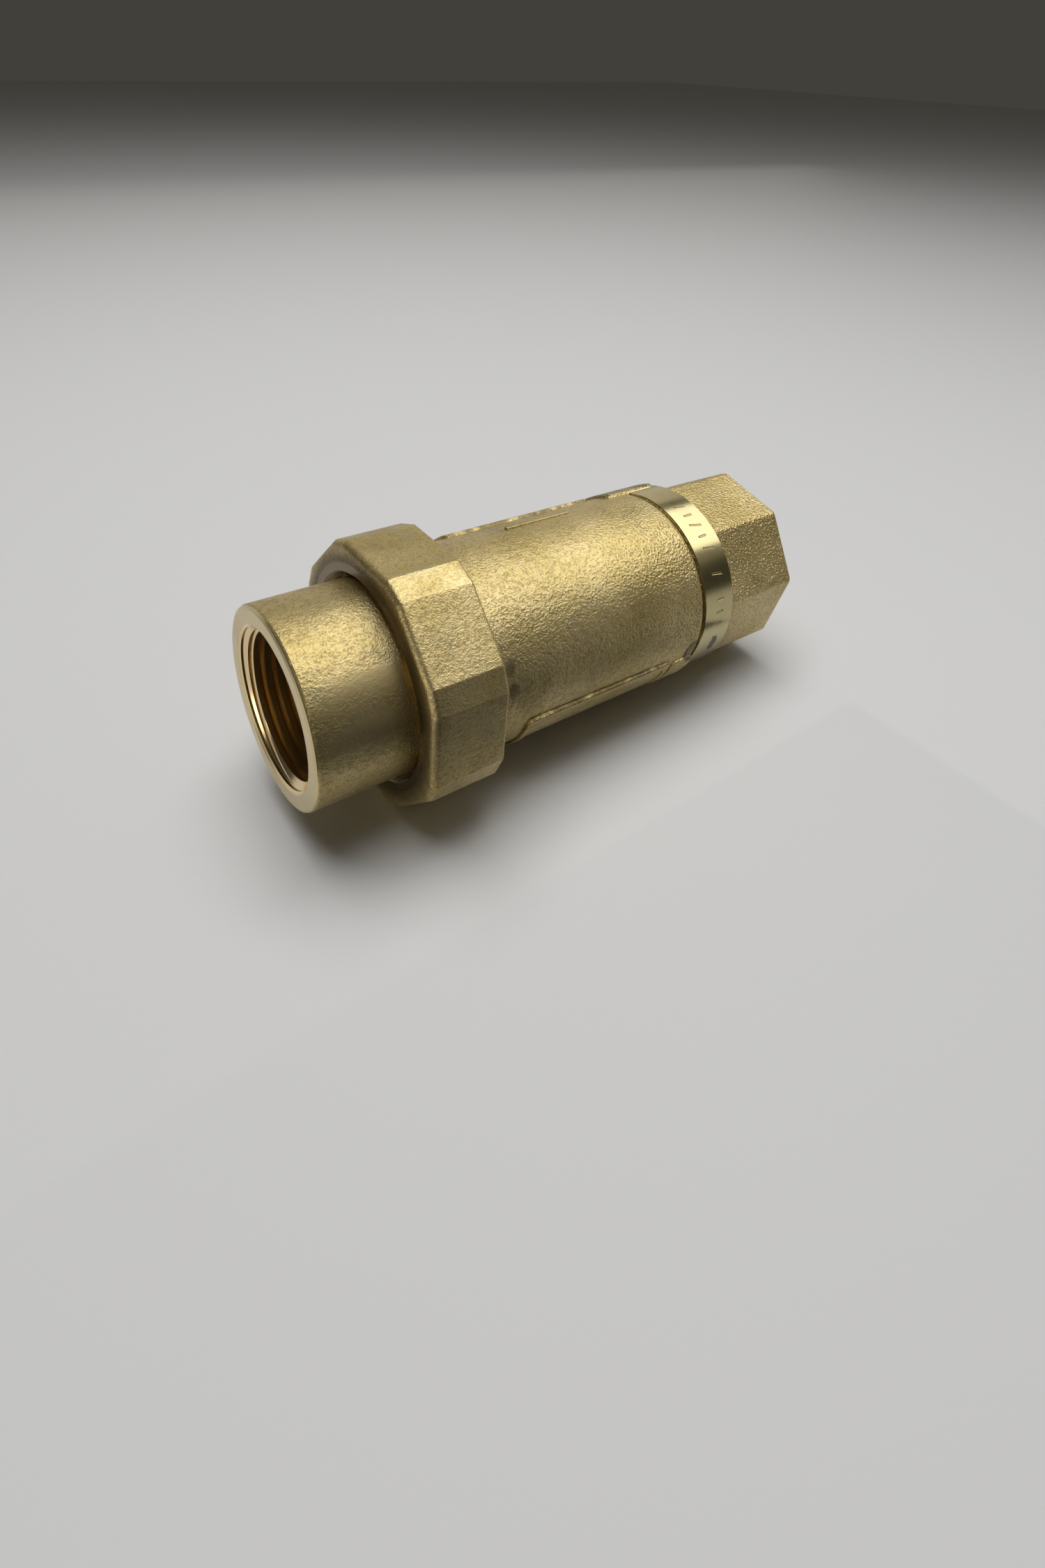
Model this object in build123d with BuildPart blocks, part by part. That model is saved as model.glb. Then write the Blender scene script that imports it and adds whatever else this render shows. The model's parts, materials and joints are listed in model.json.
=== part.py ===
from build123d import *
import os

os.makedirs("parts", exist_ok=True)

# Double check valve with a union inlet, DN 25.
# +X is the flow direction, along the valve axis, and +Z is up.
# The origin is on the axis where the first thread of the inlet starts.
# Radii are measured from the axis and stations are X positions, all in mm.

# Pipe threads at both ends, one inch parallel
PIPE_PITCH = 2.309
PIPE_MINOR_R = 15.145
PIPE_DEPTH = 1.0
PIPE_GROOVE = 1.16
PIPE_ROOT = 0.12
PIPE_SLEEVE_R = 18.0
OUTLET_RUN_IN = 2.818
INLET_TURN = 315.0
OUTLET_TURN = 45.0
CUTTER_OVERLAP = 0.35

# Union thread, one and a half inch parallel
UNION_PITCH = 2.309
UNION_CREST_R = 23.75
UNION_ROOT_R = 22.42
UNION_GROOVE = 1.96
UNION_GROOVE_ROOT = 0.96
NUT_BORE_R = 22.65
NUT_ROOT_R = 24.1
NUT_GROOVE = 1.7
NUT_GROOVE_ROOT = 0.62
UNION_TURN = 240.0
UNION_SLEEVE_R = 20.0
NUT_SLEEVE_R = 25.0

# Tailpiece
INLET_FACE = -2.1
MOUTH_R = 17.1
TAIL_R = 20.75
TAIL_THREAD_END = 17.0
TAIL_STOP = 18.6
TAIL_BORE_R = 13.8
COLLAR_FRONT = 21.3
COLLAR_BACK = 24.5
COLLAR_R = 22.0

# Union nut
NUT_FRONT = 17.6
NUT_BACK = 34.0
NUT_HOLE_R = 21.15
NUT_FLAT_R = 27.3
NUT_CORNER_FLAT_R = 28.4
NUT_SHOULDER = 21.1
NUT_THREAD_START = 25.4
NUT_RELIEF_R = 24.3

# Gasket between the tailpiece and the body
GASKET_BACK = 26.5
GASKET_R = 21.7
GASKET_BORE_R = 14.2

# Body, outside
BODY_FRONT = 26.7
THREAD_END = 33.7
RELIEF_R = 22.2
BARREL_FRONT = 35.4
BARREL_R = 23.0
BAND_FRONT = 92.4
BAND_BACK = 101.7
BAND_R = 23.3
OUTLET_FACE = 124.1
OCTAGON_FLAT_R = 21.1
BODY_TURN = 12.7
UNION_PHASE = BODY_FRONT - 2 * UNION_PITCH - 0.35

# Raised pads, cast on both sides of the mould joint
PAD_R = 23.8
PAD_FRONT = 43.0
PAD_BACK = 84.0
PAD_MIDDLE = 38.0
PAD_WIDTH = 17.6
PAD_CORNER = 1.6
PAD_RIM = 1.4
PANEL_DEPTH = 0.3
GATE_R = 23.85
GATE_FRONT = 85.4
GATE_WIDTH = 26.2
VENT_WIDTH = 16.0
LINE_R = 23.45
LINE_WIDTH = 1.1
LINE_ANGLE = 77.5
LINE_FRONT = 54.2
LINE_LENGTH = 17.5

# Body, inside
CHAMBER_R = 17.6
OUTLET_BORE_R = 13.6
OUTLET_STOP = 105.0
OUTLET_THREAD_START = 107.0
RING_FRONT = 28.1
RING_GROOVE_R = 18.7

# Check modules, stations measured from the front of each module
FIRST_MODULE = 29.4
MODULE_LENGTH = 28.0
SPACER_LENGTH = 4.3
GAP = 0.05
SECOND_MODULE = FIRST_MODULE + MODULE_LENGTH + SPACER_LENGTH + 2 * GAP
CHAMBER_END = SECOND_MODULE + MODULE_LENGTH + GAP
HOUSING_R = 17.45
HOUSING_BORE_R = 15.6
THROAT_R = 11.5
SEAT_STATION = 5.0
SEAL_R = 13.2
O_RING_R = 1.22
STEM_R = 2.45
GUIDE_FRONT = 16.6
ARM_FRONT = 22.6
GUIDE_BACK = 27.0
SPRING_R = 7.0
WIRE_R = 0.55


def ring_sketch(points):
    """Closed profile, given as (station, radius) corners, to turn about the valve axis."""
    with BuildSketch(Plane.XY) as profile:
        with BuildLine():
            Polyline(*points, close=True)
        make_face()
    return profile.sketch


def turned(points):
    """Solid of revolution about the valve axis."""
    with BuildPart() as body:
        add(ring_sketch(points))
        revolve(axis=Axis.X)
    return body.part


def thread_cutter(start, length, pitch, bore_r, root_r, mouth, root, turn, way=1):
    """Right-hand helical groove tool, wide at bore_r and narrow at root_r, made from start towards way."""
    side = CUTTER_OVERLAP if root_r > bore_r else -CUTTER_OVERLAP
    slope = (mouth - root) / abs(root_r - bore_r)
    wide = mouth + slope * abs(side)
    with BuildPart() as cutter:
        with BuildLine() as path:
            Helix(pitch, length, bore_r, center=(start, 0, 0), direction=(way, 0, 0))
        origin = path.line @ 0
        outward = (origin - Vector(start, 0, 0)).normalized()
        with BuildSketch(Plane(origin=origin, x_dir=outward, z_dir=path.line % 0)):
            with BuildLine():
                Polyline(
                    (-side, -wide / 2),
                    (root_r - bore_r, -root / 2),
                    (root_r - bore_r, root / 2),
                    (-side, wide / 2),
                    close=True,
                )
            make_face()
        sweep(path=path.line, is_frenet=True)
    return cutter.part.rotate(Axis.X, turn)


def threaded_ring(points, groove):
    """Ring turned from a profile, with a helical groove cut in it."""
    with BuildPart() as ring:
        add(ring_sketch(points))
        revolve(axis=Axis.X)
        add(groove, mode=Mode.SUBTRACT)
    return ring.part


def save(piece, name):
    """Name a finished piece and write it out."""
    piece.part.label = name
    export_step(piece.part, f"parts/{name}.step")


# ---- Tailpiece: the threaded inlet of the union ----
inlet_groove = thread_cutter(
    -2 * PIPE_PITCH,
    TAIL_THREAD_END + 2 * PIPE_PITCH,
    PIPE_PITCH,
    PIPE_MINOR_R,
    PIPE_MINOR_R + PIPE_DEPTH,
    PIPE_GROOVE,
    PIPE_ROOT,
    INLET_TURN,
)
inlet_thread = threaded_ring(
    [
        (TAIL_STOP, PIPE_SLEEVE_R),
        (TAIL_STOP, PIPE_MINOR_R),
        (0, PIPE_MINOR_R),
        (-1.2, 16.4),
        (-1.7, 16.4),
        (INLET_FACE, MOUTH_R),
        (INLET_FACE, PIPE_SLEEVE_R),
    ],
    inlet_groove,
)
with BuildPart() as tailpiece:
    add(
        ring_sketch(
            [
                (INLET_FACE, PIPE_SLEEVE_R),
                (INLET_FACE, TAIL_R - 0.8),
                (INLET_FACE + 0.25, TAIL_R - 0.25),
                (INLET_FACE + 0.8, TAIL_R),
                (COLLAR_FRONT, TAIL_R),
                (COLLAR_FRONT, COLLAR_R - 0.3),
                (COLLAR_FRONT + 0.3, COLLAR_R),
                (COLLAR_BACK, COLLAR_R),
                (COLLAR_BACK, TAIL_BORE_R),
                (TAIL_STOP, TAIL_BORE_R),
                (TAIL_STOP, PIPE_SLEEVE_R),
            ]
        )
    )
    revolve(axis=Axis.X)
    add(inlet_thread)
save(tailpiece, "tailpiece")

# ---- Gasket squeezed between the tailpiece collar and the body ----
with BuildPart() as union_gasket:
    with BuildSketch(Plane.YZ.offset(COLLAR_BACK)):
        Circle(GASKET_R)
        Circle(GASKET_BORE_R, mode=Mode.SUBTRACT)
    extrude(amount=GASKET_BACK - COLLAR_BACK)
save(union_gasket, "union_gasket")

# ---- Union nut: wide and narrow flats in turn ----
nut_groove = thread_cutter(
    UNION_PHASE + UNION_PITCH / 2,
    NUT_BACK - BODY_FRONT + 3 * UNION_PITCH,
    UNION_PITCH,
    NUT_BORE_R,
    NUT_ROOT_R,
    NUT_GROOVE,
    NUT_GROOVE_ROOT,
    UNION_TURN,
)
nut_thread = threaded_ring(
    [
        (NUT_THREAD_START - 0.8, NUT_SLEEVE_R),
        (NUT_THREAD_START - 0.8, NUT_RELIEF_R),
        (NUT_THREAD_START, NUT_BORE_R),
        (NUT_BACK - 1.1, NUT_BORE_R),
        (NUT_BACK, NUT_BORE_R + 1.1),
        (NUT_BACK, NUT_SLEEVE_R),
    ],
    nut_groove,
)
nut_bore = turned(
    [
        (NUT_FRONT - 1, 0),
        (NUT_FRONT - 1, NUT_HOLE_R + 2.2),
        (NUT_FRONT + 1.2, NUT_HOLE_R),
        (NUT_SHOULDER, NUT_HOLE_R),
        (NUT_SHOULDER, NUT_RELIEF_R),
        (NUT_THREAD_START - 0.8, NUT_RELIEF_R),
        (NUT_THREAD_START - 0.8, NUT_SLEEVE_R),
        (NUT_BACK + 1, NUT_SLEEVE_R),
        (NUT_BACK + 1, 0),
    ]
)
with BuildPart() as union_nut:
    with BuildSketch(Plane.YZ.offset(NUT_FRONT)):
        RegularPolygon(NUT_FLAT_R, 8, major_radius=False, rotation=22.5)
        RegularPolygon(NUT_CORNER_FLAT_R, 8, major_radius=False, mode=Mode.INTERSECT)
    extrude(amount=NUT_BACK - NUT_FRONT)
    fillet(union_nut.edges().filter_by(Axis.X), radius=0.8)
    fillet(union_nut.faces().sort_by(Axis.X)[0].edges(), radius=1.5)
    fillet(union_nut.faces().sort_by(Axis.X)[-1].edges(), radius=0.8)
    add(nut_bore, mode=Mode.SUBTRACT)
    add(nut_thread)
save(union_nut, "union_nut")


# ---- Body: barrel, band and octagonal outlet in one casting ----
def off_axis(face):
    """How far a face's middle is from the valve axis."""
    return Vector(0, face.center().Y, face.center().Z).length


def raised_pad(front, back, radius, middle, width, corner, edge):
    """Low pad round the barrel with sides along the mould's draw, which is an angle from +Y towards +Z."""
    with BuildPart() as pad:
        with BuildSketch(Plane.XY.rotated((middle - 90, 0, 0))):
            with Locations(((front + back) / 2, 0)):
                RectangleRounded(back - front, width, corner)
        extrude(amount=radius + 1)
        with BuildSketch(Plane.YZ.offset(front - 1)):
            Circle(radius)
            Circle(CHAMBER_R, mode=Mode.SUBTRACT)
        extrude(amount=back - front + 2, mode=Mode.INTERSECT)
        if edge > 0:
            fillet(pad.faces().sort_by(off_axis)[-1].edges(), edge)
    return pad.part


def panel_recess(front, back, middle, width):
    """Shallow sunk panel inside a pad's rim."""
    with BuildPart() as panel:
        add(raised_pad(front, back, PAD_R + 1, middle, width, PAD_CORNER, 0))
        with BuildSketch(Plane.YZ.offset(front - 1)):
            Circle(PAD_R - PANEL_DEPTH)
        extrude(amount=back - front + 2, mode=Mode.SUBTRACT)
    return panel.part


body_groove = thread_cutter(
    UNION_PHASE,
    THREAD_END + 1.2 - UNION_PHASE,
    UNION_PITCH,
    UNION_CREST_R,
    UNION_ROOT_R,
    UNION_GROOVE,
    UNION_GROOVE_ROOT,
    UNION_TURN,
)
union_thread = threaded_ring(
    [
        (BODY_FRONT, UNION_SLEEVE_R),
        (BODY_FRONT, UNION_ROOT_R - 0.3),
        (BODY_FRONT + 1.6, UNION_CREST_R),
        (THREAD_END, UNION_CREST_R),
        (THREAD_END + 0.3, RELIEF_R),
        (THREAD_END + 0.8, RELIEF_R),
        (THREAD_END + 0.8, UNION_SLEEVE_R),
    ],
    body_groove,
)
outlet_groove = thread_cutter(
    OUTLET_FACE + OUTLET_RUN_IN,
    OUTLET_FACE - OUTLET_THREAD_START + 2 * PIPE_PITCH,
    PIPE_PITCH,
    PIPE_MINOR_R,
    PIPE_MINOR_R + PIPE_DEPTH,
    PIPE_GROOVE,
    PIPE_ROOT,
    OUTLET_TURN,
    way=-1,
)
outlet_thread = threaded_ring(
    [
        (OUTLET_STOP, PIPE_SLEEVE_R),
        (OUTLET_STOP, PIPE_MINOR_R),
        (OUTLET_FACE - 2, PIPE_MINOR_R),
        (OUTLET_FACE, MOUTH_R),
        (OUTLET_FACE, PIPE_SLEEVE_R),
    ],
    outlet_groove,
)
water_way = turned(
    [
        (BODY_FRONT - 1, 0),
        (BODY_FRONT - 1, CHAMBER_R + 1.8),
        (BODY_FRONT + 0.8, CHAMBER_R),
        (RING_FRONT, CHAMBER_R),
        (RING_FRONT, RING_GROOVE_R),
        (FIRST_MODULE, RING_GROOVE_R),
        (FIRST_MODULE, CHAMBER_R),
        (CHAMBER_END, CHAMBER_R),
        (CHAMBER_END, OUTLET_BORE_R),
        (OUTLET_STOP, OUTLET_BORE_R),
        (OUTLET_STOP, PIPE_SLEEVE_R),
        (OUTLET_FACE + 1, PIPE_SLEEVE_R),
        (OUTLET_FACE + 1, 0),
    ]
)
with BuildPart() as body:
    with BuildSketch(Plane.YZ.offset(BAND_BACK - 2)):
        RegularPolygon(OCTAGON_FLAT_R, 8, major_radius=False, rotation=BODY_TURN + 22.5)
    extrude(amount=OUTLET_FACE - BAND_BACK + 2)
    fillet(body.edges().filter_by(Axis.X), radius=2.0)
    fillet(body.faces().sort_by(Axis.X)[-1].edges(), radius=0.9)
    add(
        turned(
            [
                (BODY_FRONT, 0),
                (BODY_FRONT, UNION_SLEEVE_R),
                (THREAD_END + 0.8, UNION_SLEEVE_R),
                (THREAD_END + 0.8, RELIEF_R),
                (BARREL_FRONT, RELIEF_R),
                (BARREL_FRONT, BARREL_R - 0.3),
                (BARREL_FRONT + 0.3, BARREL_R),
                (BAND_FRONT - 1.4, BARREL_R + 0.2),
                (BAND_FRONT - 0.8, BARREL_R + 0.05),
                (BAND_FRONT - 0.2, BARREL_R - 0.5),
                (BAND_FRONT, BARREL_R - 0.5),
                (BAND_FRONT, BAND_R - 0.15),
                (BAND_FRONT + 0.15, BAND_R),
                (BAND_BACK - 0.3, BAND_R),
                (BAND_BACK, BAND_R - 0.3),
                (BAND_BACK, 0),
            ]
        )
    )
    for pad_middle in (PAD_MIDDLE, PAD_MIDDLE + 180):
        add(raised_pad(PAD_FRONT, PAD_BACK, PAD_R, pad_middle, PAD_WIDTH, PAD_CORNER, 0.3))
        add(
            panel_recess(PAD_FRONT + PAD_RIM, PAD_BACK - PAD_RIM, pad_middle, PAD_WIDTH - 2 * PAD_RIM),
            mode=Mode.SUBTRACT,
        )
    add(raised_pad(GATE_FRONT, BAND_BACK - 0.6, GATE_R, PAD_MIDDLE, GATE_WIDTH, PAD_CORNER, 0.4))
    add(raised_pad(GATE_FRONT, BAND_FRONT - 0.4, GATE_R, PAD_MIDDLE + 180, VENT_WIDTH, PAD_CORNER, 0.4))
    add(raised_pad(LINE_FRONT, LINE_FRONT + LINE_LENGTH, LINE_R, LINE_ANGLE, LINE_WIDTH, 0.4, 0.2))
    add(water_way, mode=Mode.SUBTRACT)
    add(union_thread)
    add(outlet_thread)
save(body, "body")

# ---- Retaining ring that holds the modules in the chamber ----
with BuildPart() as retaining_ring:
    with BuildSketch(Plane.YZ.offset(RING_FRONT + GAP)):
        Circle(RING_GROOVE_R - 0.15)
        Circle(16.3, mode=Mode.SUBTRACT)
        with Locations((-5.5, -15.2), (5.5, -15.2)):
            Circle(2.1)
        with Locations((0, -17.5)):
            Rectangle(7, 8, mode=Mode.SUBTRACT)
        with Locations((-5.5, -15.2), (5.5, -15.2)):
            Circle(0.8, mode=Mode.SUBTRACT)
    extrude(amount=1.1)
save(retaining_ring, "retaining_ring")

# ---- Spacer between the two modules ----
with BuildPart() as module_spacer:
    with BuildSketch(Plane.YZ.offset(FIRST_MODULE + MODULE_LENGTH + GAP)):
        Circle(HOUSING_R)
        Circle(HOUSING_BORE_R, mode=Mode.SUBTRACT)
    extrude(amount=SPACER_LENGTH)
save(module_spacer, "module_spacer")


# ---- Pieces of one check module, each placed by the station of the module's front ----
def seat_housing(front):
    """Tube with the seat at its inlet end and a snap groove at its outlet end."""
    return turned(
        [
            (front, HOUSING_R - 0.5),
            (front + 0.5, HOUSING_R),
            (front + 1.2, HOUSING_R),
            (front + 1.2, 15.05),
            (front + 3.8, 15.05),
            (front + 3.8, HOUSING_R),
            (front + MODULE_LENGTH, HOUSING_R),
            (front + MODULE_LENGTH, HOUSING_BORE_R + 0.3),
            (front + MODULE_LENGTH - 0.3, HOUSING_BORE_R),
            (front + 25.9, HOUSING_BORE_R),
            (front + 25.9, 15.98),
            (front + 25.2, 15.98),
            (front + 25.2, HOUSING_BORE_R),
            (front + SEAT_STATION, HOUSING_BORE_R),
            (front + SEAT_STATION, THROAT_R + 1.3),
            (front + SEAT_STATION + 0.6, THROAT_R + 0.8),
            (front + SEAT_STATION + 0.6, THROAT_R),
            (front + 2.2, THROAT_R),
            (front, 13.4),
        ]
    )


def housing_seal(front):
    """Rubber ring in the housing's outer groove."""
    with BuildPart() as ring:
        with BuildSketch(Plane.XY):
            with Locations((front + 2.5, CHAMBER_R - 0.05 - O_RING_R)):
                Circle(O_RING_R)
        revolve(axis=Axis.X)
    return ring.part


def poppet(front):
    """Disc with a stem, a spring boss and a blind hole for the screw."""
    return turned(
        [
            (front + 5.65, 1.5),
            (front + 5.65, 5.2),
            (front + 7.05, 5.2),
            (front + 7.05, SEAL_R + 0.2),
            (front + 8.5, SEAL_R + 0.2),
            (front + 9.05, SEAL_R - 0.4),
            (front + 9.05, 5.6),
            (front + 10.4, 5.4),
            (front + 10.4, STEM_R + 0.6),
            (front + 11.0, STEM_R),
            (front + 21.5, STEM_R),
            (front + 22.0, STEM_R - 0.5),
            (front + 22.0, 0),
            (front + 14.0, 0),
            (front + 14.0, 1.5),
        ]
    )


def seat_seal(front):
    """Flat rubber ring that closes on the seat."""
    with BuildPart() as ring:
        with BuildSketch(Plane.YZ.offset(front + 5.65)):
            Circle(SEAL_R)
            Circle(5.25, mode=Mode.SUBTRACT)
        extrude(amount=1.35)
    return ring.part


def seal_clamp(front):
    """Stainless disc that holds the rubber ring on the poppet."""
    with BuildPart() as disc:
        with BuildSketch(Plane.YZ.offset(front + 4.7)):
            Circle(9.6)
            Circle(1.6, mode=Mode.SUBTRACT)
        extrude(amount=0.9)
        front_edges = disc.edges().filter_by(GeomType.CIRCLE).group_by(Axis.X)[0]
        fillet(front_edges.sort_by(SortBy.RADIUS)[-1], 0.4)
    return disc.part


def clamp_screw(front):
    """Slotted pan head screw through the clamp into the poppet."""
    with BuildPart() as screw:
        add(
            ring_sketch(
                [
                    (front + 3.0, 0),
                    (front + 3.0, 2.2),
                    (front + 3.6, 2.9),
                    (front + 4.65, 2.9),
                    (front + 4.65, 1.4),
                    (front + 13.2, 1.4),
                    (front + 13.6, 1.0),
                    (front + 13.6, 0),
                ]
            )
        )
        revolve(axis=Axis.X)
        with Locations((front + 3.3, 0, 0)):
            Box(1.2, 0.7, 7, mode=Mode.SUBTRACT)
    return screw.part


def stem_guide(front):
    """Hub on four arms in a ring that snaps into the housing."""
    with BuildPart() as guide:
        add(
            ring_sketch(
                [
                    (front + ARM_FRONT, 13.4),
                    (front + ARM_FRONT, 15.5),
                    (front + 25.3, 15.5),
                    (front + 25.4, 15.9),
                    (front + 25.7, 15.9),
                    (front + 25.8, 15.5),
                    (front + GUIDE_BACK, 15.5),
                    (front + GUIDE_BACK, 13.4),
                ]
            )
        )
        revolve(axis=Axis.X)
        with BuildSketch(Plane.YZ.offset(front + ARM_FRONT)):
            Rectangle(28, 2)
            Rectangle(2, 28)
        extrude(amount=GUIDE_BACK - ARM_FRONT)
        with BuildSketch(Plane.YZ.offset(front + ARM_FRONT)):
            Circle(SPRING_R + 1.2)
        extrude(amount=1.4)
        with BuildSketch(Plane.YZ.offset(front + GUIDE_FRONT)):
            Circle(4.8)
        extrude(amount=GUIDE_BACK - GUIDE_FRONT)
        with BuildSketch(Plane.YZ.offset(front)):
            Circle(STEM_R + 0.08)
        extrude(amount=MODULE_LENGTH, mode=Mode.SUBTRACT)
    return guide.part


def return_spring(front):
    """Round wire spring between the poppet and the guide."""
    start = front + 9.05 + GAP + WIRE_R
    end = front + ARM_FRONT - GAP - WIRE_R
    with BuildPart() as coil:
        with BuildLine() as path:
            Helix((end - start) / 6, end - start, SPRING_R, center=(start, 0, 0), direction=(1, 0, 0))
        with BuildSketch(Plane(origin=path.line @ 0, z_dir=path.line % 0)):
            Circle(WIRE_R)
        sweep(path=path.line, is_frenet=True)
    return coil.part


PIECES = {
    "seat_housing": seat_housing,
    "housing_o_ring": housing_seal,
    "poppet": poppet,
    "seat_seal": seat_seal,
    "seal_clamp": seal_clamp,
    "clamp_screw": clamp_screw,
    "stem_guide": stem_guide,
    "return_spring": return_spring,
}
for order, station in (("first", FIRST_MODULE), ("second", SECOND_MODULE)):
    for piece_name, build in PIECES.items():
        shape = build(station)
        with BuildPart() as piece:
            add(shape)
        save(piece, f"{order}_{piece_name}")
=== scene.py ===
import json
import math

import bpy
from mathutils import Matrix, Vector


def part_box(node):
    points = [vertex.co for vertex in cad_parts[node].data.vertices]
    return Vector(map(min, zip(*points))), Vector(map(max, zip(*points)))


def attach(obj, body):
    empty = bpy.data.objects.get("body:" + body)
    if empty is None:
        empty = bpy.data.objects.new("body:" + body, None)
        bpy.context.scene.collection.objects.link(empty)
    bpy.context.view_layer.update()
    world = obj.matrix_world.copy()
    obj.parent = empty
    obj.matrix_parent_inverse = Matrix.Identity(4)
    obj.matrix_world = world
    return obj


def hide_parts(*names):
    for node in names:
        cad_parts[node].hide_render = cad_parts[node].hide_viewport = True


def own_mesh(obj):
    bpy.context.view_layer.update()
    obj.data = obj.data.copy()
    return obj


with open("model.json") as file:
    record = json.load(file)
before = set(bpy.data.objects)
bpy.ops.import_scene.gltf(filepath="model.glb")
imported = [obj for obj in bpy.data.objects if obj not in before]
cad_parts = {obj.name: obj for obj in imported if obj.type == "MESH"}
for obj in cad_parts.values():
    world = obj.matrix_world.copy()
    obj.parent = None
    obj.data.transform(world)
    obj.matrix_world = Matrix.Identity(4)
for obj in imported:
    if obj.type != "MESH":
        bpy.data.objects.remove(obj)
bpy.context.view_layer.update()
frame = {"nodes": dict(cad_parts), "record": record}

MM = 0.001


# ---------------------------------------------------------------- node tools
class Value:
    """A number that varies over a surface. Sums and products of these make nodes."""

    def __init__(self, tree, socket):
        self.tree = tree
        self.socket = socket

    def maths(self, operation, *others):
        inputs = dict(enumerate((self,) + others))
        node = add_node(self.tree, "ShaderNodeMath", {"operation": operation}, inputs)
        return Value(self.tree, node.outputs[0])

    def swapped(self, operation, other):
        node = add_node(self.tree, "ShaderNodeMath", {"operation": operation}, {0: other, 1: self})
        return Value(self.tree, node.outputs[0])

    def __add__(self, other):
        return self.maths("ADD", other)

    def __radd__(self, other):
        return self.swapped("ADD", other)

    def __sub__(self, other):
        return self.maths("SUBTRACT", other)

    def __rsub__(self, other):
        return self.swapped("SUBTRACT", other)

    def __mul__(self, other):
        return self.maths("MULTIPLY", other)

    def __rmul__(self, other):
        return self.swapped("MULTIPLY", other)

    def __truediv__(self, other):
        return self.maths("DIVIDE", other)

    def __rtruediv__(self, other):
        return self.swapped("DIVIDE", other)

    def __pow__(self, other):
        return self.maths("POWER", other)

    def __rpow__(self, other):
        return self.swapped("POWER", other)

    def __neg__(self):
        return self.maths("MULTIPLY", -1.0)

    def __abs__(self):
        return self.maths("ABSOLUTE")

    def smallest(self, other):
        return self.maths("MINIMUM", other)

    def largest(self, other):
        return self.maths("MAXIMUM", other)

    def ramp(self, low, high):
        """0 below low, 1 above high, and smooth in between. low may be the larger."""
        node = add_node(
            self.tree,
            "ShaderNodeMapRange",
            {"interpolation_type": "SMOOTHSTEP"},
            {"Value": self, "From Min": low, "From Max": high},
        )
        return Value(self.tree, node.outputs["Result"])

    def step(self, ends):
        """The same for a pair of places in millimetres."""
        return self.ramp(ends[0] * MM, ends[1] * MM)


def plug(tree, socket, item):
    """Links a Value or a socket to an input, or sets the input to a plain number, vector or colour."""
    if isinstance(item, Value):
        tree.links.new(item.socket, socket)
    elif isinstance(item, bpy.types.NodeSocket):
        tree.links.new(item, socket)
    elif socket.type == "RGBA":
        socket.default_value = (*item, 1.0)
    else:
        socket.default_value = item


def add_node(tree, kind, settings=None, inputs=None):
    """One node with its settings and inputs. Inputs are named by socket name or place."""
    node = tree.nodes.new(kind)
    for name, setting in (settings or {}).items():
        setattr(node, name, setting)
    for key, item in (inputs or {}).items():
        plug(tree, node.inputs[key], item)
    return node


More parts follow.
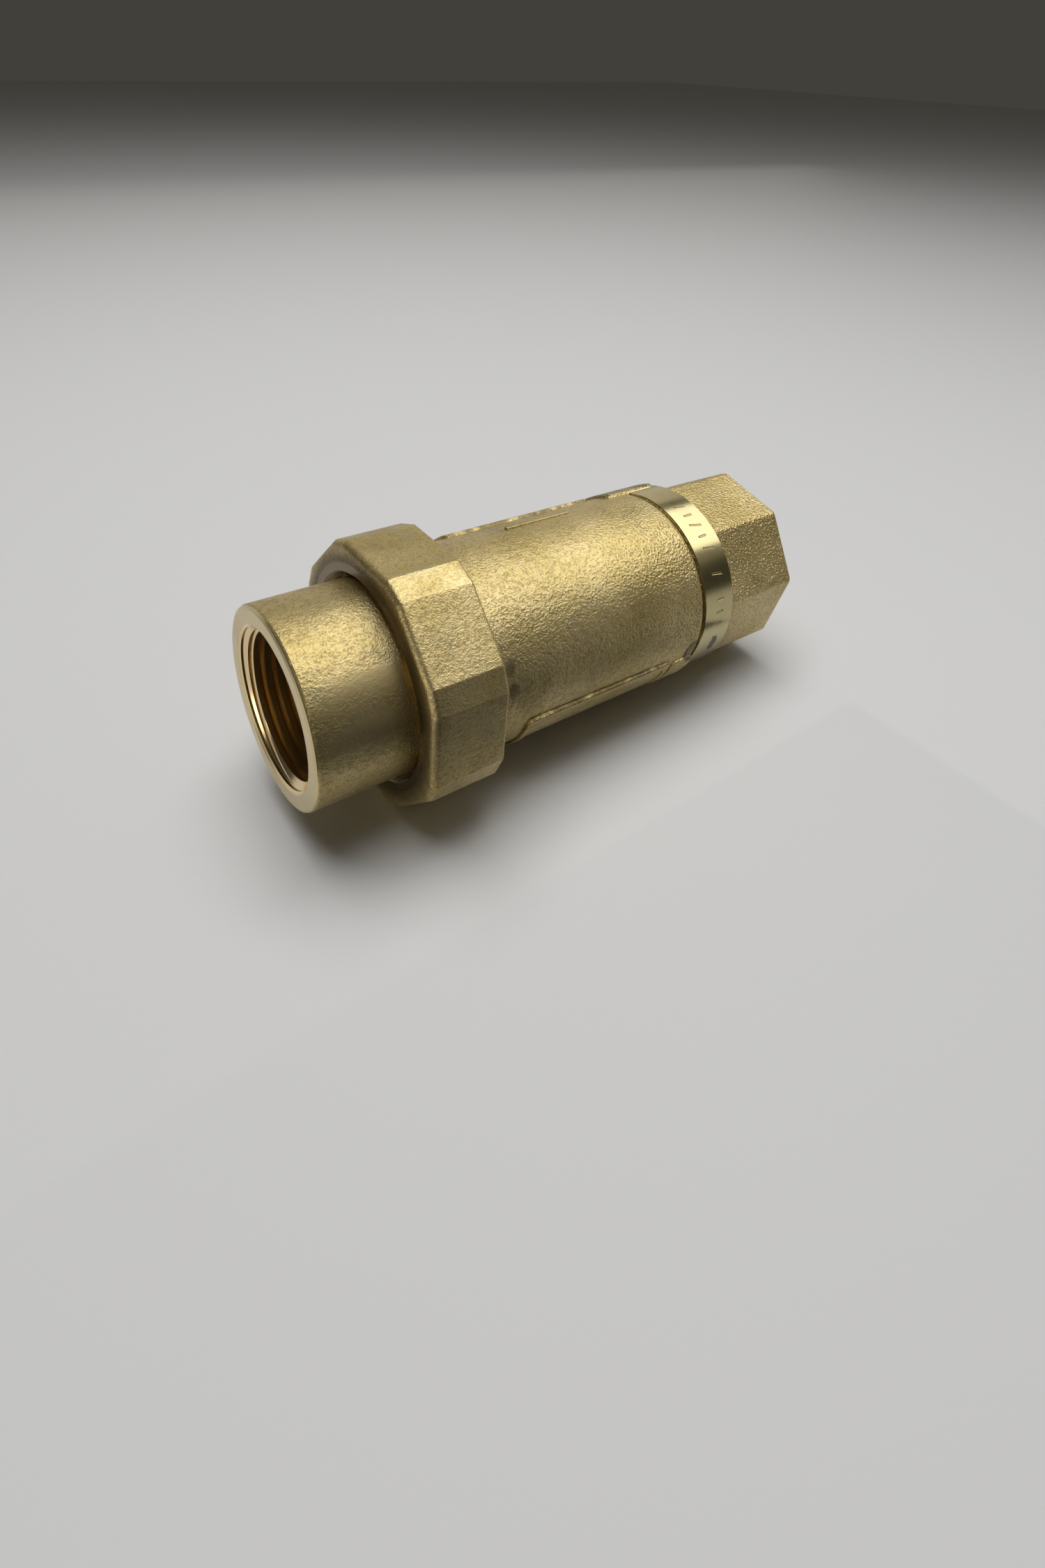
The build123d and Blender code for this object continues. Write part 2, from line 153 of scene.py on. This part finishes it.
class Finish:
    """A material being built, with a point's x, y, z, radius from the axis and angle round it."""

    def __init__(self, name):
        self.material = bpy.data.materials.new(name)
        self.material.use_nodes = True
        self.tree = self.material.node_tree
        self.shader = self.tree.nodes["Principled BSDF"]
        coordinates = add_node(self.tree, "ShaderNodeTexCoord")
        self.place = coordinates.outputs["Object"]
        parts = add_node(self.tree, "ShaderNodeSeparateXYZ", inputs={"Vector": self.place})
        self.x, self.y, self.z = [Value(self.tree, parts.outputs[i]) for i in range(3)]
        self.radius = (self.y * self.y + self.z * self.z) ** 0.5
        self.angle = self.z.maths("ARCTAN2", self.y)

    def node(self, kind, settings=None, inputs=None):
        return add_node(self.tree, kind, settings, inputs)

    def noise(self, size, detail=3.0, rough=0.6, stretch=(1, 1, 1), shift=0.0):
        """Cloudy noise from 0 to 1, whose lumps are about twice that size in metres."""
        mapping = self.node(
            "ShaderNodeMapping",
            inputs={"Vector": self.place, "Scale": stretch, "Location": (shift, shift, shift)},
        )
        texture = self.node(
            "ShaderNodeTexNoise",
            inputs={
                "Vector": mapping.outputs[0],
                "Scale": 0.5 / size,
                "Detail": detail,
                "Roughness": rough,
            },
        )
        return Value(self.tree, texture.outputs["Fac"])

    def pebbles(self, size):
        """Round dents of that size in metres: low in the middle of each dent and high between them."""
        texture = self.node(
            "ShaderNodeTexVoronoi",
            settings={"feature": "SMOOTH_F1"},
            inputs={"Vector": self.place, "Scale": 1 / size, "Smoothness": 0.6, "Randomness": 1.0},
        )
        return Value(self.tree, texture.outputs["Distance"])

    def blot(self, centre, reach, edge=0.35, wobble=0.5, blob=0.0016):
        """A ragged patch, 1 in the middle and 0 outside. reach is its half size in mm along x, y and z."""
        ragged = (self.noise(blob, detail=4.0) - 0.5) * wobble
        terms = [
            ((axis - middle) / (half * MM)) ** 2.0
            for axis, middle, half in zip((self.x, self.y, self.z), centre, reach)
        ]
        distance = (terms[0] + terms[1] + terms[2]) ** 0.5
        return (distance + ragged).ramp(1.0 + edge, 1.0 - edge)

    def mixed(self, kind, place, result, factor, first, second):
        """A Mix node, whose sockets for one kind start at place and give their answer at result."""
        inputs = {0: factor, place: first, place + 1: second}
        return self.node("ShaderNodeMix", {"data_type": kind}, inputs).outputs[result]

    def mix(self, factor, first, second):
        """Colour between two colours."""
        return self.mixed("RGBA", 6, 2, factor, first, second)

    def mix_directions(self, factor, first, second):
        """Normal between two normals."""
        return self.mixed("VECTOR", 4, 1, factor, first, second)

    def blend(self, factor, first, second):
        """Number between two numbers."""
        return first + (second - first) * factor

    def bump(self, height, distance, strength=1.0, under=None):
        """Normal of a surface with that height, in that many metres, on top of the one under it."""
        inputs = {"Height": height, "Distance": distance, "Strength": strength}
        if under is not None:
            inputs["Normal"] = under
        return self.node("ShaderNodeBump", inputs=inputs).outputs[0]

    def close(self, colour, roughness, metallic, normal):
        """Fills the shader in and gives the material back."""
        plug(self.tree, self.shader.inputs["Base Color"], colour)
        plug(self.tree, self.shader.inputs["Roughness"], roughness)
        plug(self.tree, self.shader.inputs["Metallic"], metallic)
        plug(self.tree, self.shader.inputs["Normal"], normal)
        return self.material


# ---------------------------------------------------------------- brass
CAST_LIGHT = (0.64, 0.52, 0.265)
CAST_MIDDLE = (0.50, 0.395, 0.165)
CAST_DARK = (0.17, 0.125, 0.050)
TARNISH = (0.38, 0.35, 0.24)
MACHINED = (0.70, 0.57, 0.31)
BORE = (0.90, 0.70, 0.40)
BAND = (0.52, 0.45, 0.24)
PUNCHED = (0.25, 0.18, 0.08)
NUT_FACE_SHADE = (0.10, 0.065, 0.03)
PAD_CREASE_SHADE = (0.08, 0.058, 0.026)
DENT_STAIN_AND_LUG_SHADE = (0.045, 0.034, 0.022)
STAIN = (0.018, 0.017, 0.018)

# Soft steps in millimetres. Each goes from where a mask is 0 to where it is 1.
TAIL_SKIN_RADIUS = (20.3, 20.5)
TAIL_SKIN_FRONT = (-1.9, -1.5)
TAIL_SKIN_BACK = (21.4, 21.2)
TAIL_BORE = (17.2, 16.6)
NUT_EDGES = (27.9, 28.9)
NUT_SKIN_RADIUS = (23.9, 24.4)
NUT_FACE_SHADE_STATION = (19.4, 18.0)
NUT_FACE_SHADE_RADIUS = (28.0, 24.5)
COARSE_GRAIN = (45, 100)
BAND_FRONT = (92.25, 92.4)
BAND_BACK = (101.75, 101.65)
BAND_UNDER = (22.7, 22.9)
BAND_OVER = (23.45, 23.35)
BODY_BORE = (19.2, 19.0)
BODY_RELIEF = (35.75, 35.6)
OUTLET_FACE = (124.0, 124.08)
PAD_START = (43.0, 44.5)
PAD_END = (84.3, 83.0)
PAD_OUTSIDE = (21.0, 21.5)
LUG_TOP = (23.45, 23.6)
LUG_START = (85.0, 86.0)
LUG_UPPER_SIDE = (5.5, 8.0)
LUG_LOWER_SIDE = (19.5, 13.5)

# The pads' sides follow the mould's draw, this many degrees from +Y towards +Z.
PAD_DRAW = math.radians(38)
PAD_FOOT = 8.95 * MM
PAD_RIM = 7.3 * MM

# One stroke at most in each cell of this length round the band.
STROKE_CELL = 3.1
STROKE_RADIUS = 23.3
STROKE_STATION = 97.2 * MM
STROKE_HEIGHT = 3.4 * MM
STROKES_FROM = (math.radians(92), math.radians(93))
STROKES_TO = (math.radians(-170), math.radians(-171))


def point(station, angle, radius):
    """A place on the valve: millimetres along, degrees round from +Y towards +Z, millimetres out."""
    turn = math.radians(angle)
    return (station * MM, radius * math.cos(turn) * MM, radius * math.sin(turn) * MM)


def cast_surface(f, grain, depth, coarse=None):
    """Colour, roughness and normal of shot-blasted brass. coarse is 1 where the grain is largest."""
    fine = f.noise(grain, detail=2.0, rough=0.6)
    lumps = f.noise(grain * 2.4, detail=2.0, rough=0.5)
    height = fine * 0.8 + lumps * 0.6
    if coarse is not None:
        dents = f.pebbles(grain * 2.2) * 0.7 + f.noise(grain * 1.1, detail=2.0) * 0.75
        height = f.blend(coarse, height, dents)
    normal = f.bump(height, depth)
    normal = f.bump(f.noise(0.005, detail=2.0), 0.00025, under=normal)
    patches = f.noise(0.010, detail=5.0, rough=0.62)
    colour = f.mix(patches.ramp(0.34, 0.66), CAST_MIDDLE, CAST_LIGHT)
    hollows = height.ramp(0.78, 0.54)
    colour = f.mix(hollows * 0.38, colour, CAST_DARK)
    tarnish = f.noise(0.004, detail=4.0, rough=0.65).ramp(0.56, 0.72)
    colour = f.mix(tarnish * 0.40, colour, TARNISH)
    shade = f.noise(0.007, detail=4.0, rough=0.6, shift=0.3).ramp(0.54, 0.70)
    colour = f.mix(shade * 0.28, colour, CAST_DARK)
    roughness = 0.34 + patches * 0.12 + hollows * 0.10
    return colour, roughness, normal


def turned_surface(f, colour):
    """Colour, roughness and normal of machined brass, with the fine rings that the tool leaves."""
    rings = f.noise(0.00022, detail=2.0, stretch=(1, 0.004, 0.004))
    waves = f.noise(0.004, detail=2.0)
    darker = tuple(part * 0.86 for part in colour)
    tone = f.mix(f.noise(0.006, detail=3.0).ramp(0.3, 0.75), colour, darker)
    return tone, 0.20 + rings * 0.10 + waves * 0.05, f.bump(rings, 0.000012)


def layered(f, mask, first, second):
    """Colour, roughness and normal that go from one surface to another by a mask."""
    return (
        f.mix(mask, first[0], second[0]),
        f.blend(mask, first[1], second[1]),
        f.mix_directions(mask, first[2], second[2]),
    )


def tail_brass():
    f = Finish("tailpiece_brass")
    cast = cast_surface(f, 0.00022, 0.00016)
    smooth = f.noise(0.007, detail=3.0, rough=0.7, stretch=(0.5, 1, 1)).ramp(0.50, 0.66)
    worn = (
        f.mix(0.5, CAST_LIGHT, MACHINED),
        0.30 + f.noise(0.002) * 0.1,
        f.bump(f.noise(0.0011), 0.00003),
    )
    outside = layered(f, smooth * 0.75, cast, worn)
    cut = turned_surface(f, MACHINED)
    skin = f.radius.step(TAIL_SKIN_RADIUS) * f.x.step(TAIL_SKIN_FRONT) * f.x.step(TAIL_SKIN_BACK)
    colour, roughness, normal = layered(f, skin, cut, outside)
    bore = f.radius.step(TAIL_BORE)
    colour = f.mix(bore * 0.8, colour, BORE)
    return f.close(colour, roughness - bore * 0.06, 1.0, normal)


def nut_brass():
    f = Finish("nut_brass")
    colour, roughness, normal = cast_surface(f, 0.00019, 0.00014)
    edge = f.radius.step(NUT_EDGES) * f.noise(0.0025, detail=4.0).ramp(0.35, 0.6)
    outside = (f.mix(edge * 0.5, colour, MACHINED), roughness - edge * 0.08, normal)
    cut = turned_surface(f, MACHINED)
    colour, roughness, normal = layered(f, f.radius.step(NUT_SKIN_RADIUS), cut, outside)
    # Painted shade: the nut's front face inside its flats is darkened because it faces away from the
    # light.
    face_shade = f.x.step(NUT_FACE_SHADE_STATION) * f.radius.step(NUT_FACE_SHADE_RADIUS)
    colour = f.mix(face_shade * 0.85, colour, NUT_FACE_SHADE)
    return f.close(colour, roughness, 1.0, normal)


def punched_strokes(f):
    """Plain punched strokes in a row round the band: 1 in a stroke and 0 elsewhere."""
    arc = f.angle * (STROKE_RADIUS / STROKE_CELL)
    cell = arc.maths("FLOOR")
    across = arc - cell - 0.5
    up = (f.x - STROKE_STATION) / STROKE_HEIGHT
    chance = f.node("ShaderNodeTexWhiteNoise", {"noise_dimensions": "1D"}, {"W": cell})
    pick = Value(f.tree, chance.outputs["Value"])
    lean = (pick - 0.5) * 0.5
    line = abs(across - up * lean).ramp(0.10, 0.05)
    reach = 0.22 + pick * 0.28
    ends = (abs(up) - reach).ramp(0.03, -0.03)
    present = pick.ramp(0.18, 0.19)
    stretch = f.angle.ramp(*STROKES_FROM) + f.angle.ramp(*STROKES_TO)
    return line * ends * present * stretch


def pad_crease_shade(f):
    """Painted shade: dark lines in the creases at the foot and at the inner rim of the two long pads,
    which run along the barrel.
    """
    across = abs(f.z * math.cos(PAD_DRAW) - f.y * math.sin(PAD_DRAW))
    foot = abs(across - PAD_FOOT).step((0.45, 0.12))
    rim = abs(across - PAD_RIM).step((0.35, 0.1)) * 0.7
    along = f.x.step(PAD_START) * f.x.step(PAD_END)
    patchy = f.noise(0.002, detail=3.0).ramp(0.30, 0.55)
    return foot.largest(rim) * along * patchy * f.radius.step(PAD_OUTSIDE)


def polished_band(f):
    """Colour, roughness and normal of the band with its strokes."""
    strokes = punched_strokes(f)
    colour, roughness, normal = turned_surface(f, BAND)
    colour = f.mix(strokes * 0.65, colour, PUNCHED)
    return colour, roughness + strokes * 0.1 - 0.08, f.bump(-strokes, 0.00010, under=normal)


def stains(f):
    """Two smudges beside the nut and one on the band."""
    upper = f.blot(point(38.0, 158, 23), (1.3, 2.2, 1.5), edge=0.5, wobble=1.7, blob=0.0008)
    lower = f.blot(point(38.4, 171, 23), (1.0, 2.8, 2.2), edge=0.5, wobble=1.7, blob=0.0008)
    on_band = f.blot(point(97.8, 195, 23.3), (1.2, 3.0, 2.6), edge=0.15, wobble=1.8, blob=0.0009)
    return (upper * 0.75 + lower * 0.65 + on_band).smallest(1.0)


def dent_stain_and_lug_shade(f):
    """A dark oval just before the band, which is a stain darkened towards its rim by the painted shade of
    a shallow dent, and painted shade on the patchy top of the lug that runs over it.
    """
    oval = f.blot(point(90.3, 194, 23.2), (2.1, 3.5, 3.2), edge=0.2, wobble=0.5, blob=0.0008)
    hollow = f.blot(point(90.9, 193.5, 23.2), (1.5, 3.5, 2.3), edge=0.25, wobble=0.5, blob=0.0008)
    lug = f.radius.step(LUG_TOP) * f.x.step(LUG_START)
    lug = lug * f.y.step(LUG_UPPER_SIDE) * f.y.step(LUG_LOWER_SIDE)
    patchy = f.noise(0.003, detail=4.0).ramp(0.42, 0.62) * 0.6 + 0.4
    return ((oval - hollow * 0.35) * 0.75).largest(lug * patchy * 0.85)


def body_brass():
    f = Finish("body_brass")
    outside = cast_surface(f, 0.00024, 0.00027, f.x.step(COARSE_GRAIN))
    cut = turned_surface(f, MACHINED)
    machined = f.x.step(BODY_RELIEF) + f.x.step(OUTLET_FACE) + f.radius.step(BODY_BORE)
    surface = layered(f, machined.smallest(1.0), outside, cut)
    band = f.x.step(BAND_FRONT) * f.x.step(BAND_BACK)
    band = band * f.radius.step(BAND_UNDER) * f.radius.step(BAND_OVER)
    colour, roughness, normal = layered(f, band, surface, polished_band(f))
    marks = stains(f)
    colour = f.mix(marks * 0.75, colour, STAIN)
    # A stain with a shallow dent's shade painted in, and painted shade on the top of the lug.
    colour = f.mix(dent_stain_and_lug_shade(f), colour, DENT_STAIN_AND_LUG_SHADE)
    # Painted shade in the creases along the two pads.
    colour = f.mix(pad_crease_shade(f) * 0.7, colour, PAD_CREASE_SHADE)
    return f.close(colour, roughness + marks * 0.15, 1.0, normal)


# ---------------------------------------------------------------- other stuff
def moulded_plastic(name, colour, roughness=0.42):
    f = Finish(name)
    skin = f.noise(0.00035, detail=2.0)
    paler = tuple(min(1.0, part * 1.25 + 0.002) for part in colour)
    tone = f.mix(f.noise(0.006), colour, paler)
    return f.close(tone, roughness + skin * 0.12, 0.0, f.bump(skin, 0.00001))


def dull_rubber(name, colour):
    f = Finish(name)
    skin = f.noise(0.00025, detail=3.0)
    tone = f.mix(f.noise(0.003), colour, tuple(part * 1.6 for part in colour))
    return f.close(tone, 0.62 + skin * 0.2, 0.0, f.bump(skin, 0.000015))


def drawn_steel(name, colour, roughness=0.26):
    f = Finish(name)
    lines = f.noise(0.0002, detail=2.0, stretch=(1, 0.02, 0.02))
    tone = f.mix(f.noise(0.003), colour, tuple(part * 0.8 for part in colour))
    return f.close(tone, roughness + lines * 0.14, 1.0, f.bump(lines, 0.000008))


FINISHES = {
    "body_brass": body_brass(),
    "tailpiece_brass": tail_brass(),
    "nut_brass": nut_brass(),
    "gasket_rubber": dull_rubber("gasket_rubber", (0.03, 0.03, 0.032)),
    "ring_steel": drawn_steel("ring_steel", (0.30, 0.29, 0.28), 0.36),
    "black_acetal": moulded_plastic("black_acetal", (0.014, 0.014, 0.016)),
    "poppet_acetal": moulded_plastic("poppet_acetal", (0.72, 0.71, 0.66), 0.36),
    "seal_rubber": dull_rubber("seal_rubber", (0.018, 0.018, 0.02)),
    "stainless": drawn_steel("stainless", (0.60, 0.59, 0.57)),
    "spring_steel": drawn_steel("spring_steel", (0.55, 0.54, 0.53), 0.22),
}
slot_of = {entry["node"]: entry["material_slot"] for entry in frame["record"]["subparts"]}
for node_name, node_object in frame["nodes"].items():
    node_object.data.materials.clear()
    node_object.data.materials.append(FINISHES[slot_of[node_name]])


# ---------------------------------------------------------------- springs
SPRING_INPUTS = ("Coils", "Coil Radius", "Length", "Wire Radius", "Start")
SPRING_COILS = 7.5
SPRING_RADIUS = 7.0 * MM
SPRING_WIRE = 0.55 * MM
SPRING_BEADS = 361
CLOSED_TURNS = 1.25


def spring_tree(material):
    """Wire wound round the X axis with closed ends."""
    tree = bpy.data.node_groups.new("wound_spring", "GeometryNodeTree")
    for name in SPRING_INPUTS:
        tree.interface.new_socket(name, in_out="INPUT", socket_type="NodeSocketFloat")
    tree.interface.new_socket("Geometry", in_out="OUTPUT", socket_type="NodeSocketGeometry")
    given = add_node(tree, "NodeGroupInput")
    amounts = [Value(tree, given.outputs[name]) for name in SPRING_INPUTS]
    coils, coil_radius, length, wire, start = amounts
    ends = {"Start": (0, 0, 0), "End": (1, 0, 0)}
    line = add_node(tree, "GeometryNodeCurvePrimitiveLine", inputs=ends)
    beads = add_node(
        tree,
        "GeometryNodeResampleCurve",
        inputs={"Curve": line.outputs[0], "Count": SPRING_BEADS},
    )
    along = Value(tree, add_node(tree, "GeometryNodeSplineParameter").outputs["Factor"])
    closed = CLOSED_TURNS / coils
    ease = along.ramp(closed, 1.0 - closed)
    lift = start + wire + wire * coils * along + (length - wire * 2.0 - wire * coils) * ease
    turn = along * coils * (2 * math.pi)
    spot = add_node(
        tree,
        "ShaderNodeCombineXYZ",
        inputs={0: lift, 1: turn.maths("COSINE") * coil_radius, 2: turn.maths("SINE") * coil_radius},
    )
    placed = add_node(
        tree,
        "GeometryNodeSetPosition",
        inputs={"Geometry": beads.outputs[0], "Position": spot.outputs[0]},
    )
    ring = add_node(tree, "GeometryNodeCurvePrimitiveCircle", inputs={"Resolution": 14, "Radius": wire})
    tube = add_node(
        tree,
        "GeometryNodeCurveToMesh",
        inputs={"Curve": placed.outputs[0], "Profile Curve": ring.outputs[0], "Fill Caps": True},
    )
    smooth = add_node(tree, "GeometryNodeSetShadeSmooth", inputs={"Geometry": tube.outputs[0]})
    real = add_node(tree, "GeometryNodeRealizeInstances", inputs={"Geometry": smooth.outputs[0]})
    dressed = add_node(
        tree,
        "GeometryNodeSetMaterial",
        inputs={"Geometry": real.outputs[0], "Material": material},
    )
    out = add_node(tree, "NodeGroupOutput")
    tree.links.new(dressed.outputs[0], out.inputs[0])
    return tree


def frozen(name, tree, amounts):
    """A plain mesh object made by running a geometry tree once."""
    holder = bpy.data.objects.new(name + "_maker", bpy.data.meshes.new(name + "_empty"))
    bpy.context.scene.collection.objects.link(holder)
    modifier = holder.modifiers.new("make", "NODES")
    modifier.node_group = tree
    for item in tree.interface.items_tree:
        if item.item_type == "SOCKET" and item.in_out == "INPUT" and item.name in amounts:
            modifier[item.identifier] = amounts[item.name]
    bpy.context.view_layer.update()
    graph = bpy.context.evaluated_depsgraph_get()
    mesh = bpy.data.meshes.new_from_object(holder.evaluated_get(graph), depsgraph=graph)
    mesh.name = name
    bpy.data.objects.remove(holder, do_unlink=True)
    made = bpy.data.objects.new(name, mesh)
    bpy.context.scene.collection.objects.link(made)
    return made


wound = spring_tree(FINISHES["spring_steel"])
for order in ("first", "second"):
    cad_spring = f"{order}_return_spring"
    low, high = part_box(cad_spring)
    coil = frozen(
        f"{order}_wound_spring",
        wound,
        {
            "Coils": SPRING_COILS,
            "Coil Radius": SPRING_RADIUS,
            "Length": high[0] - low[0],
            "Wire Radius": SPRING_WIRE,
            "Start": low[0],
        },
    )
    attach(coil, "valve_body")
    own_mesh(coil)
    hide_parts(cad_spring)


# ---------------------------------------------------------------- stage
def plain_paint(name, colour, roughness):
    material = bpy.data.materials.new(name)
    material.use_nodes = True
    shader = material.node_tree.nodes["Principled BSDF"]
    shader.inputs["Base Color"].default_value = (*colour, 1.0)
    shader.inputs["Roughness"].default_value = roughness
    return material


# The valve lies on the nut's lower flat and the outlet's lower edge, so the floor slopes along it.
NUT_REST = Vector((33.2 * MM, 0, -27.3 * MM))
OUTLET_REST = Vector((122.6 * MM, 0, -22.4 * MM))
slope = math.atan2(OUTLET_REST.z - NUT_REST.z, OUTLET_REST.x - NUT_REST.x)
bpy.ops.mesh.primitive_plane_add(size=6.0)
floor = bpy.context.object
floor.name = "floor"
floor.rotation_euler = (0, -slope, 0)
floor.location = NUT_REST
floor.data.materials.append(plain_paint("pale_floor", (0.80, 0.80, 0.80), 0.7))


def soft_light(name, place, target, width, height, radiance, colour, on_floor=False):
    """An even softbox. on_floor ones light matt surfaces. The others show only in reflections."""
    lamp = bpy.data.lights.new(name, "AREA")
    lamp.shape = "RECTANGLE"
    lamp.size = width
    lamp.size_y = height
    lamp.energy = radiance * math.pi * width * height
    lamp.color = colour
    holder = bpy.data.objects.new(name, lamp)
    bpy.context.scene.collection.objects.link(holder)
    holder.location = place
    holder.rotation_euler = (Vector(target) - Vector(place)).to_track_quat("-Z", "Y").to_euler()
    holder.visible_diffuse = on_floor
    holder.visible_glossy = not on_floor


MIDDLE = (0.06, 0.0, 0.0)
SOFT_WHITE = (1.0, 0.985, 0.96)
WARM = (1.0, 0.955, 0.85)
WHITE = (1.0, 1.0, 1.0)
soft_light("overhead", (0.53, -0.055, 0.60), (0.53, -0.055, 0.0), 1.15, 0.71, 2.45, SOFT_WHITE)
soft_light("inlet_side", (-0.60, -0.16, 0.06), (0.0, 0.0, 0.0), 0.52, 0.24, 2.6, WARM)
soft_light("front", (0.45, -0.95, 0.60), (0.45, -0.95, 0.0), 1.15, 1.0, 0.24, WARM)
soft_light("back", (0.30, 0.80, 0.34), (0.10, 0.0, 0.0), 1.60, 0.60, 0.62, WARM)
soft_light("floor_fill", (0.0, 0.10, 0.90), MIDDLE, 0.70, 0.70, 4.4, WHITE, on_floor=True)

# A dark card lies in front of the nut and the inlet. It shows only in reflections.
bpy.ops.mesh.primitive_plane_add(size=1.0)
card = bpy.context.object
card.name = "dark_card"
card.scale = (0.33, 0.86, 1.0)
card.rotation_euler = (0, -slope, 0)
card.location = (-0.035, -0.474, -0.0306)
card.data.materials.append(plain_paint("dark_card", (0.012, 0.011, 0.010), 0.9))
card.visible_camera = False
card.visible_diffuse = False
card.visible_shadow = False

world = bpy.data.worlds.new("studio")
bpy.context.scene.world = world
world.use_nodes = True
background = world.node_tree.nodes["Background"]
background.inputs["Color"].default_value = (1.0, 0.93, 0.78, 1.0)
background.inputs["Strength"].default_value = 0.055
bpy.context.scene.view_settings.view_transform = "Standard"

# ---------------------------------------------------------------- camera
CAMERA_PLACE = Vector((-0.04307, -0.12387, 0.10667))
CAMERA_LOOK = Vector((0.53240, 0.67781, -0.50707))
CAMERA_ABOVE = Vector((0.24662, 0.44884, 0.85891))

eye = bpy.data.cameras.new("camera")
eye.sensor_width = 36.0
eye.lens = 19.293
eye.shift_x = 0.0043
eye.shift_y = -0.1342
eye.clip_start = 0.01
camera = bpy.data.objects.new("camera", eye)
bpy.context.scene.collection.objects.link(camera)
look = CAMERA_LOOK.normalized()
across = look.cross(CAMERA_ABOVE.normalized()).normalized()
above = across.cross(look)
turned = Matrix((across, above, -look)).transposed().to_4x4()
camera.matrix_world = Matrix.Translation(CAMERA_PLACE) @ turned
bpy.context.scene.camera = camera
